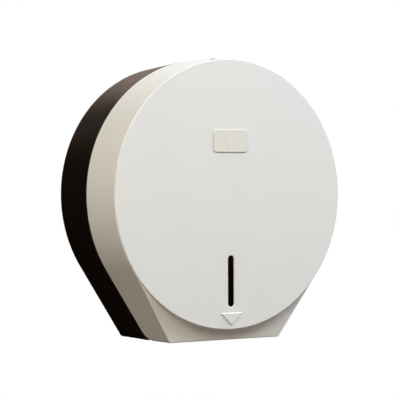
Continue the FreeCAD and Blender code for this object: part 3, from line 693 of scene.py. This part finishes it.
def addNode(tree, kind, *values, **named):
    node = feed(tree, tree.nodes.new("ShaderNode" + kind), **named)
    for value, socket in zip(values, node.inputs):
        wire(tree, value, socket)
    return node


def maths(tree, operation, first, second=None):
    return addNode(tree, "Math", first, second, operation=operation).outputs[0]


def times(tree, first, second):
    return maths(tree, "MULTIPLY", first, second)


def remap(tree, value, low, high, toLow=0, toHigh=1):
    node = addNode(tree, "MapRange", Value=value, From_Min=low, From_Max=high, To_Min=toLow, To_Max=toHigh)
    return node.outputs["Result"]


def objectPlace(tree):
    return addNode(tree, "TexCoord").outputs["Object"]


def noiseOn(tree, spot, sizeInMm, detail, rough, stretch=(1, 1, 1), shift=(0, 0, 0), distortion=0):
    # a noise whose grains measure about sizeInMm, which is a number or a socket
    place = addNode(tree, "Mapping", Vector=spot, Scale=[s / mm for s in stretch], Location=shift)
    scale = maths(tree, "DIVIDE", 1, sizeInMm) if hasattr(sizeInMm, "is_output") else 1 / sizeInMm
    return addNode(tree, "TexNoise", Vector=place.outputs["Vector"], Scale=scale, Detail=detail, Roughness=rough,
        Distortion=distortion).outputs["Fac"]


def newGroup(name, inputs, outputs):
    # a group of shader nodes that takes and gives plain values
    tree = bpy.data.node_groups.new(name, "ShaderNodeTree")
    for way, labels in (("INPUT", inputs), ("OUTPUT", outputs)):
        for label in labels:
            tree.interface.new_socket(name=label, in_out=way, socket_type="NodeSocketFloat")
    return tree, tree.nodes.new("NodeGroupInput").outputs, tree.nodes.new("NodeGroupOutput")


def makeMouldSkin():
    # spark-eroded grain, a slow ripple and faint clouds, as on moulded plastic
    tree, given, out = newGroup("mouldSkin", ("Grain mm", "Ripple mm"), ("Height", "Clouds", "Speckle"))
    spot = objectPlace(tree)
    grain = noiseOn(tree, spot, given["Grain mm"], 3, 0.6)
    ripple = noiseOn(tree, spot, given["Ripple mm"], 1, 0.4)
    clouds = noiseOn(tree, spot, 55, 3, 0.55, shift=(3, 7, 1))
    specks = noiseOn(tree, spot, 1.7, 2, 0.5, shift=(9, 2, 5))
    feed(tree, out, Height=maths(tree, "ADD", times(tree, grain, 0.35), ripple),
        Clouds=remap(tree, clouds, 0.3, 0.7), Speckle=remap(tree, specks, 0.68, 0.8))
    return tree


def makeEdgeWear():
    # where the surface turns sharply, broken up by noise
    tree, given, out = newGroup("edgeWear", ("Width mm", "Patch mm"), ("Worn",))
    rounded = addNode(tree, "Bevel", samples=4, Radius=times(tree, given["Width mm"], mm)).outputs["Normal"]
    flat = addNode(tree, "NewGeometry").outputs["Normal"]
    dot = addNode(tree, "VectorMath", rounded, flat, operation="DOT_PRODUCT").outputs["Value"]
    patches = remap(tree, noiseOn(tree, objectPlace(tree), given["Patch mm"], 4, 0.65), 0.45, 0.62)
    feed(tree, out, Worn=times(tree, remap(tree, dot, 0.995, 0.85), patches))
    return tree


def makeSettledDust():
    # fine dust on what faces up, thinner where hands wipe it
    tree, given, out = newGroup("settledDust", ("Patch mm",), ("Dust",))
    spots = addNode(tree, "TexCoord").outputs
    upward = remap(tree, addNode(tree, "SeparateXYZ", spots["Normal"]).outputs["Z"], 0.35, 1)
    patches = remap(tree, noiseOn(tree, spots["Object"], given["Patch mm"], 5, 0.65), 0.35, 0.7)
    fine = remap(tree, noiseOn(tree, spots["Object"], 0.9, 2, 0.6), 0.3, 0.7, 0.5, 1)
    feed(tree, out, Dust=times(tree, times(tree, upward, patches), fine))
    return tree


def makeHandling():
    # hairline scratches two ways and the soft smears of cloths and hands
    tree, given, out = newGroup("handling", ("Scratch mm",), ("Hairlines", "Smears"))
    spot = objectPlace(tree)
    lines = []
    for turn, shift in ((0.35, 3), (-0.8, 11)):
        swung = addNode(tree, "Mapping", Vector=spot, Rotation=(0, turn, 0)).outputs["Vector"]
        raw = noiseOn(tree, swung, given["Scratch mm"], 1, 0.4, stretch=(0.012, 0.2, 1), shift=(shift, 0, shift))
        lines.append(remap(tree, raw, 0.74, 0.8))
    gate = remap(tree, noiseOn(tree, spot, 26, 2, 0.5, shift=(1, 4, 2)), 0.5, 0.7)
    smears = noiseOn(tree, spot, 38, 4, 0.6, stretch=(1, 1, 0.45), distortion=0.8)
    feed(tree, out, Hairlines=times(tree, maths(tree, "MAXIMUM", *lines), gate), Smears=remap(tree, smears, 0.35, 0.7))
    return tree


def makeBrushed():
    # fine parallel lines along one axis, as on rolled or turned steel: the stretch sets the axis
    tree, given, out = newGroup("brushed", ("Line mm", "X", "Y", "Z"), ("Lines", "Stains"))
    spot = objectPlace(tree)
    stretch = addNode(tree, "CombineXYZ", *(given[axis] for axis in "XYZ")).outputs[0]
    along = addNode(tree, "VectorMath", spot, stretch, operation="MULTIPLY").outputs[0]
    feed(tree, out, Lines=noiseOn(tree, along, given["Line mm"], 3, 0.6),
        Stains=remap(tree, noiseOn(tree, spot, 9, 4, 0.6), 0.4, 0.68))
    return tree


mouldSkin, edgeWear, settledDust, handling, brushed = (
    make() for make in (makeMouldSkin, makeEdgeWear, makeSettledDust, makeHandling, makeBrushed))


def placeGroup(tree, group, **values):
    return addNode(tree, "Group", node_tree=group, **values).outputs


def blendColour(tree, factor, first, second):
    first, second = (c if hasattr(c, "is_output") else (*c, 1) for c in (first, second))
    return addNode(tree, "Mix", data_type="RGBA", Factor=factor, A=first, B=second).outputs["Result"]


def tinted(tree, base, mask, amount, colour):
    return blendColour(tree, times(tree, mask, amount), base, colour)


def changed(tree, base, mask, amount, how="ADD"):
    return maths(tree, how, base, times(tree, mask, amount))


def newMaterial(name):
    material = bpy.data.materials.new(name)
    material.use_nodes = True
    tree = material.node_tree
    return material, tree, tree.nodes["Principled BSDF"]


def bumped(tree, height, depthMm):
    return addNode(tree, "Bump", Strength=1, Distance=depthMm * mm, Height=height).outputs["Normal"]


plasticLook = dict(
    grain=0.7, ripple=16, wearWidth=0.5, wearPatch=8, scratch=0.45,
    colour=(0.81, 0.815, 0.808), cloud=0.6, cloudColour=(0.795, 0.795, 0.78),
    speckle=0.1, speckleColour=(0.62, 0.6, 0.56), worn=0.25, wornColour=(0.86, 0.86, 0.85),
    dust=0.1, dustPatch=30, dustColour=(0.66, 0.62, 0.56), rough=0.38, smear=0.06, hairline=0.12, polish=0.05,
    bump=0.03, scratchBump=0.25, specular=0.4, coat=0, coatRough=0.12)


def makePlastic(name, **changes):
    # moulded plastic: grain, clouding, dust on top, rubbed edges and a little handling
    look = dict(plasticLook, **changes)
    material, tree, shader = newMaterial(name)
    skin = placeGroup(tree, mouldSkin, Grain_mm=look["grain"], Ripple_mm=look["ripple"])
    wear = placeGroup(tree, edgeWear, Width_mm=look["wearWidth"], Patch_mm=look["wearPatch"])
    marks = placeGroup(tree, handling, Scratch_mm=look["scratch"])
    dust = placeGroup(tree, settledDust, Patch_mm=look["dustPatch"])
    colour = look["colour"]
    for mask, key in ((skin["Clouds"], "cloud"), (skin["Speckle"], "speckle"), (wear["Worn"], "worn"),
            (dust["Dust"], "dust")):
        colour = tinted(tree, colour, mask, look[key], look[key + "Colour"])
    rough = changed(tree, look["rough"], marks["Smears"], look["smear"])
    rough = changed(tree, rough, marks["Hairlines"], look["hairline"])
    rough = changed(tree, rough, dust["Dust"], look["dust"] * 0.6)
    rough = changed(tree, rough, wear["Worn"], look["polish"], "SUBTRACT")
    height = changed(tree, skin["Height"], marks["Hairlines"], look["scratchBump"], "SUBTRACT")
    feed(tree, shader, Base_Color=colour, Roughness=rough, Normal=bumped(tree, height, look["bump"]),
        Specular_IOR_Level=look["specular"], Coat_Weight=look["coat"], Coat_Roughness=look["coatRough"])
    return material


metalLook = dict(
    line=0.22, along=(1, 0.02, 1), wearWidth=0.25, wearPatch=2.5,
    colour=(0.56, 0.56, 0.55), lineColour=(0.66, 0.66, 0.65), stain=0.25, stainColour=(0.4, 0.38, 0.35),
    worn=0.6, wornColour=(0.8, 0.8, 0.79), rough=0.24, stainRough=0.14, lineRough=0.1, bump=0.006)


def makeMetal(name, **changes):
    # metal with its own lines, dull stains and bright worn edges
    look = dict(metalLook, **changes)
    material, tree, shader = newMaterial(name)
    lines = placeGroup(tree, brushed, Line_mm=look["line"], **dict(zip("XYZ", look["along"])))
    wear = placeGroup(tree, edgeWear, Width_mm=look["wearWidth"], Patch_mm=look["wearPatch"])
    colour = blendColour(tree, lines["Lines"], look["colour"], look["lineColour"])
    colour = tinted(tree, colour, lines["Stains"], look["stain"], look["stainColour"])
    colour = tinted(tree, colour, wear["Worn"], look["worn"], look["wornColour"])
    rough = changed(tree, look["rough"], lines["Stains"], look["stainRough"])
    rough = changed(tree, rough, lines["Lines"], look["lineRough"])
    feed(tree, shader, Base_Color=colour, Roughness=rough, Normal=bumped(tree, lines["Lines"], look["bump"]),
        Metallic=1)
    return material


def tintAlong(material, axis, low, high, colour, patches=None):
    # another colour over a material beyond a place on one axis, broken up where patches are given
    tree = material.node_tree
    spot = objectPlace(tree)
    mask = remap(tree, addNode(tree, "SeparateXYZ", spot).outputs[axis], low, high)
    if patches:
        mask = times(tree, mask, remap(tree, noiseOn(tree, spot, patches, 5, 0.62, stretch=(1, 1, 0.6)), 0.35, 0.8))
    base = tree.nodes["Principled BSDF"].inputs["Base Color"]
    wire(tree, blendColour(tree, mask, base.links[0].from_socket, colour), base)


coverPlastic = makePlastic("coverPlastic")
casePlastic = makePlastic(
    "casePlastic", grain=0.9, ripple=11, colour=(0.0062, 0.0036, 0.0023), cloudColour=(0.0085, 0.0052, 0.0036),
    speckle=0.25, speckleColour=(0.022, 0.016, 0.012), worn=0.35, wornColour=(0.045, 0.034, 0.026),
    dust=0.13, dustColour=(0.17, 0.145, 0.12), rough=0.24, smear=0.08, bump=0.04, specular=0.3)
platePlastic = makePlastic(
    "platePlastic", grain=0.5, ripple=20, colour=(0.8, 0.78, 0.71), cloudColour=(0.775, 0.75, 0.68),
    worn=0.3, wornColour=(0.88, 0.87, 0.82), dust=0.05, rough=0.24, smear=0.08, bump=0.012, coat=0.35)
windowPlastic = makePlastic(
    "windowPlastic", grain=0.5, ripple=18, colour=(0.0012, 0.0005, 0.0004), cloudColour=(0.004, 0.0012, 0.0009),
    speckle=0, speckleColour=(0.01, 0.007, 0.006), worn=0.1, wornColour=(0.02, 0.012, 0.01),
    dust=0.02, dustColour=(0.1, 0.08, 0.07), rough=0.22, smear=0.1, bump=0.008, specular=0.01)
# the window's colour turns a little lighter and redder towards its upper end
tintAlong(windowPlastic, "Z", -0.076, -0.064, (0.0065, 0.0016, 0.001))
# the back of the case is painted lighter in patches: rubs from the wall, and painted light standing in for the light
# the back lacks
tintAlong(casePlastic, "Y", -0.0005, -0.0002, (0.1, 0.092, 0.084), patches=34)
hubPlastic = makePlastic(
    "hubPlastic", grain=0.8, ripple=9, colour=(0.5, 0.51, 0.51), cloudColour=(0.46, 0.47, 0.47),
    speckleColour=(0.36, 0.35, 0.33), worn=0.5, wornColour=(0.62, 0.62, 0.61),
    dust=0.25, dustColour=(0.62, 0.6, 0.57), rough=0.42, bump=0.05)
capPlastic = makePlastic(
    "capPlastic", grain=0.8, ripple=9, colour=(0.42, 0.43, 0.44), cloudColour=(0.39, 0.4, 0.41),
    speckleColour=(0.3, 0.3, 0.29), worn=0.5, wornColour=(0.58, 0.58, 0.57),
    dust=0.2, dustColour=(0.58, 0.56, 0.53), bump=0.04)
axlePlastic = makePlastic(
    "axlePlastic", grain=0.4, ripple=6, colour=(0.016, 0.016, 0.017), cloudColour=(0.022, 0.022, 0.022),
    speckleColour=(0.05, 0.05, 0.05), worn=0.3, wornColour=(0.06, 0.06, 0.06),
    dust=0.15, dustColour=(0.2, 0.19, 0.18), rough=0.3, bump=0.02)
nylonPlastic = makePlastic(
    "nylonPlastic", grain=0.5, ripple=5, colour=(0.72, 0.69, 0.58), cloudColour=(0.68, 0.64, 0.52),
    worn=0.2, wornColour=(0.8, 0.78, 0.7), rough=0.45, bump=0.02)
stripSteel = makeMetal("stripSteel")
pinSteel = makeMetal("pinSteel", along=(0.02, 1, 1), rough=0.2, colour=(0.52, 0.52, 0.52))
screwSteel = makeMetal(
    "screwSteel", line=0.3, along=(1, 1, 1), colour=(0.58, 0.58, 0.54), lineColour=(0.62, 0.63, 0.6),
    rough=0.3)
washerSteel = makeMetal("washerSteel", along=(0.05, 1, 1), rough=0.28)
clipSteel = makeMetal(
    "clipSteel", along=(1, 1, 0.05), colour=(0.34, 0.34, 0.36), lineColour=(0.42, 0.42, 0.43), rough=0.28)
camSteel = makeMetal(
    "camSteel", along=(0.03, 1, 1), colour=(0.55, 0.55, 0.5), lineColour=(0.62, 0.61, 0.56),
    stain=0.35, stainColour=(0.42, 0.38, 0.28), rough=0.3)
lockChrome = makeMetal(
    "lockChrome", line=0.8, along=(1, 1, 1), colour=(0.62, 0.63, 0.64), lineColour=(0.66, 0.67, 0.68),
    stain=0.12, stainColour=(0.5, 0.49, 0.47), rough=0.09, stainRough=0.12, lineRough=0.03, bump=0.002)
lockBrass = makeMetal(
    "lockBrass", line=0.2, along=(1, 1, 0.03), colour=(0.66, 0.48, 0.22), lineColour=(0.74, 0.56, 0.28),
    stain=0.4, stainColour=(0.42, 0.28, 0.13), wornColour=(0.86, 0.7, 0.42), rough=0.22, bump=0.004)
print("materials made", len(bpy.data.materials))

for make, node, body, slot, material in (
        (makeCover, "front_cover", "cover", "cover_plastic", coverPlastic),
        (makeRearCase, "rear_case", "case", "case_plastic", casePlastic),
        (makeRollHub, "roll_hub", "hub", "hub_plastic", hubPlastic),
        (makeHubCap, "hub_cap", "hub", "cap_plastic", capPlastic),
        (makeNamePlate, "name_plate", "cover", "badge_plastic", platePlastic),
        (makeSightWindow, "sight_window", "cover", "window_plastic", windowPlastic),
        (makeLockHousing, "lock_housing", "cover", "lock_chrome", lockChrome),
        (makeLockPlug, "lock_plug", "lock", "lock_brass", lockBrass)):
    finishPiece(make(), node, body, material)
# the other pieces are copies of their solids, with edges broken by so many millimetres
for node, name, body, slot, edge, material in (
        ("tear_strip_right", "tearStripRight", "case", "strip_steel", 0.08, stripSteel),
        ("tear_strip_left", "tearStripLeft", "case", "strip_steel", 0.08, stripSteel),
        ("tear_strip_screws", "stripScrews", "case", "screw_steel", 0.1, screwSteel),
        ("hinge_pin_right", "hingePinRight", "case", "pin_steel", 0.2, pinSteel),
        ("hinge_pin_left", "hingePinLeft", "case", "pin_steel", 0.2, pinSteel),
        ("spindle_axle", "spindleAxle", "case", "axle_plastic", 0.25, axlePlastic),
        ("axle_screws", "axleScrews", "case", "screw_steel", 0.1, screwSteel),
        ("thrust_washer", "thrustWasher", "case", "washer_nylon", 0.12, nylonPlastic),
        ("retaining_washer", "retainingWasher", "case", "washer_steel", 0.15, washerSteel),
        ("hub_screw", "hubScrew", "case", "screw_steel", 0.12, screwSteel),
        ("window_clips", "windowClips", "cover", "clip_steel", 0.05, clipSteel),
        ("lock_nut", "lockNut", "cover", "lock_brass", 0.2, lockBrass),
        ("lock_cam", "lockCam", "lock", "cam_steel", 0.15, camSteel),
        ("cam_nut", "camNut", "lock", "cam_steel", 0.2, camSteel)):
    dressNode(node, name, body, material, edge)


# the studio, in metres
studio = dict(
    floorZ=-0.45, floorSize=40, fadeStart=0.9, fadeEnd=2, bounce=(0.16, 0.13, 0.1),
    # the light on the back: where it comes from, and its colour
    fillFrom=(0.25, 0.95, 0), fillColour=(0.5, 0.49, 0.48), lampAim=(0, -0.05, 0), lampReach=2, lampSize=1.2,
    # each lamp: degrees to the right of the front, degrees up, watts of red, green and blue
    lamps=dict(rightLamp=(55, 45, (26.4, 33.4, 41)), sideLamp=(75, 15, (18.5, 14.7, 10.2)),
               leftLamp=(-50, 40, (10.6, 14.1, 14.4)), lowLamp=(-50, 30, (24.8, 18.9, 14.4))))
# each shade: its height, where the room leans with X, and its colour
surround = dict(
    radius=1.3, top=1.2, front=0.03, lean=0.55,
    shades=((-0.4, (0.005, 0.003, 0.002)), (0.1, (0.02, 0.014, 0.01)), (0.4, (0.125, 0.095, 0.075)),
            (0.61, (0.1, 0.073, 0.058)), (0.775, (0.22, 0.165, 0.135)), (0.85, (0.62, 0.47, 0.39)),
            (0.92, (1.25, 0.95, 0.81))))


def seenDirectly(tree):
    # what the eye, a mirror or a clear piece sees, and not what lights the part
    paths = addNode(tree, "LightPath").outputs
    seen = maths(tree, "MAXIMUM", paths["Is Camera Ray"], paths["Is Glossy Ray"])
    return maths(tree, "MAXIMUM", seen, paths["Is Transmission Ray"])


def makeFloor():
    deselectAll()
    bpy.ops.mesh.primitive_plane_add(size=studio["floorSize"], location=(0, 0, studio["floorZ"]))
    floor = settle("studioFloor")
    material, tree, shader = newMaterial("floorPaint")
    spot = objectPlace(tree)
    mottle = remap(tree, noiseOn(tree, spot, 60, 3, 0.5), 0.3, 0.7)
    pale = blendColour(tree, mottle, (0.8, 0.8, 0.79), (0.83, 0.83, 0.82))
    seen = seenDirectly(tree)
    feed(tree, shader, Base_Color=blendColour(tree, seen, studio["bounce"], pale), Roughness=0.8,
        Specular_IOR_Level=0.1)
    reach = addNode(tree, "VectorMath", spot, operation="LENGTH").outputs["Value"]
    far = remap(tree, reach, studio["fadeStart"], studio["fadeEnd"])
    glow = addNode(tree, "Emission", Color=(1, 1, 1, 1), Strength=1)
    mix = addNode(tree, "MixShader", times(tree, far, seen), shader.outputs["BSDF"], glow.outputs["Emission"])
    feed(tree, tree.nodes["Material Output"], Surface=mix.outputs["Shader"])
    floor.data.materials.append(material)


def makeSurround():
    # the room behind, as the gloss of the part picks it up: dark low at the left, a warm brown higher up
    low, high = studio["floorZ"] + 0.002, surround["top"]
    deselectAll()
    bpy.ops.mesh.primitive_cylinder_add(vertices=96, radius=surround["radius"], depth=high - low,
        location=(0, 0, (low + high) / 2))
    room = settle("studioSurround")
    openEdit(room)
    bpy.ops.mesh.bisect(plane_co=(0, surround["front"], 0), plane_no=(0, 1, 0), clear_inner=True)
    closeEdit()
    pick(room, "FACE", lambda c, n: abs(c.z * mm - high) < 1e-4)
    bpy.ops.mesh.delete(type="FACE")
    closeEdit()
    room.visible_camera = room.visible_diffuse = room.visible_shadow = room.visible_transmission = False
    material, tree, shader = newMaterial("surroundPaint")
    tree.nodes.remove(shader)
    place = addNode(tree, "SeparateXYZ", objectPlace(tree)).outputs
    level = maths(tree, "ADD", place["Z"], times(tree, place["X"], surround["lean"]))
    first, last = surround["shades"][0][0], surround["shades"][-1][0]
    ramp = addNode(tree, "ValToRGB", remap(tree, level, first, last))
    stops = ramp.color_ramp.elements
    for height, shade in surround["shades"]:
        # a new ramp has a stop at either end
        share = (height - first) / (last - first)
        stop = stops[0] if share == 0 else stops[-1] if share == 1 else stops.new(share)
        stop.color = (*shade, 1)
    glow = addNode(tree, "Emission", Strength=1, Color=ramp.outputs["Color"])
    feed(tree, tree.nodes["Material Output"], Surface=glow.outputs["Emission"])
    room.data.materials.append(material)


def makeSky():
    world = bpy.data.worlds.new("studioSky")
    bpy.context.scene.world = world
    world.use_nodes = True
    tree = world.node_tree
    tree.nodes.clear()
    toward = addNode(tree, "VectorMath", addNode(tree, "TexCoord").outputs["Generated"],
        Vector(studio["fillFrom"]).normalized(), operation="DOT_PRODUCT").outputs["Value"]
    fill = blendColour(tree, remap(tree, toward, 0, 1), (0, 0, 0), studio["fillColour"])
    back = addNode(tree, "Background", Color=blendColour(tree, seenDirectly(tree), fill, (1, 1, 1)))
    addNode(tree, "OutputWorld", Surface=back.outputs["Background"])


def makeLamp(name, around, up, watts):
    turn, rise, reach = math.radians(around), math.radians(up), studio["lampReach"]
    aim = Vector(studio["lampAim"])
    place = aim + reach * Vector((math.sin(turn) * math.cos(rise), -math.cos(turn) * math.cos(rise), math.sin(rise)))
    bpy.ops.object.light_add(type="AREA", location=place)
    lamp = bpy.context.object
    lamp.name = name
    lamp.data.shape, lamp.data.size, lamp.data.energy = "DISK", studio["lampSize"], max(watts)
    lamp.data.color = [w / max(watts) for w in watts]
    lamp.rotation_mode = "QUATERNION"
    lamp.rotation_quaternion = (aim - place).to_track_quat("-Z", "Y")


makeFloor()
makeSurround()
makeSky()
for lampName, (around, up, watts) in studio["lamps"].items():
    makeLamp(lampName, around, up, watts)
print("studio made,", len(studio["lamps"]), "lamps")

cameraSetup = dict(azimuth=33.38, elevation=0.76, roll=-0.22, distance=1.8027, focal=165.8,
    target=(-0.0368, -0.1105, -0.00525), clip=(0.05, 60))
turn, rise, roll = (math.radians(cameraSetup[k]) for k in ("azimuth", "elevation", "roll"))
ahead = Vector((math.sin(turn) * math.cos(rise), math.cos(turn) * math.cos(rise), -math.sin(rise)))
right = Vector((math.cos(turn), -math.sin(turn), 0))
up = right.cross(ahead)
cameraX = right * math.cos(roll) + up * math.sin(roll)
cameraY = up * math.cos(roll) - right * math.sin(roll)
spot = Vector(cameraSetup["target"]) - ahead * cameraSetup["distance"]
bpy.ops.object.camera_add(location=spot)
camera = bpy.context.object
camera.name = "studioCamera"
camera.data.lens = cameraSetup["focal"]
camera.data.clip_start, camera.data.clip_end = cameraSetup["clip"]
camera.matrix_world = Matrix.Translation(spot) @ Matrix((cameraX, cameraY, -ahead)).transposed().to_4x4()
bpy.context.scene.camera = camera
bpy.context.scene.view_settings.view_transform = "Standard"
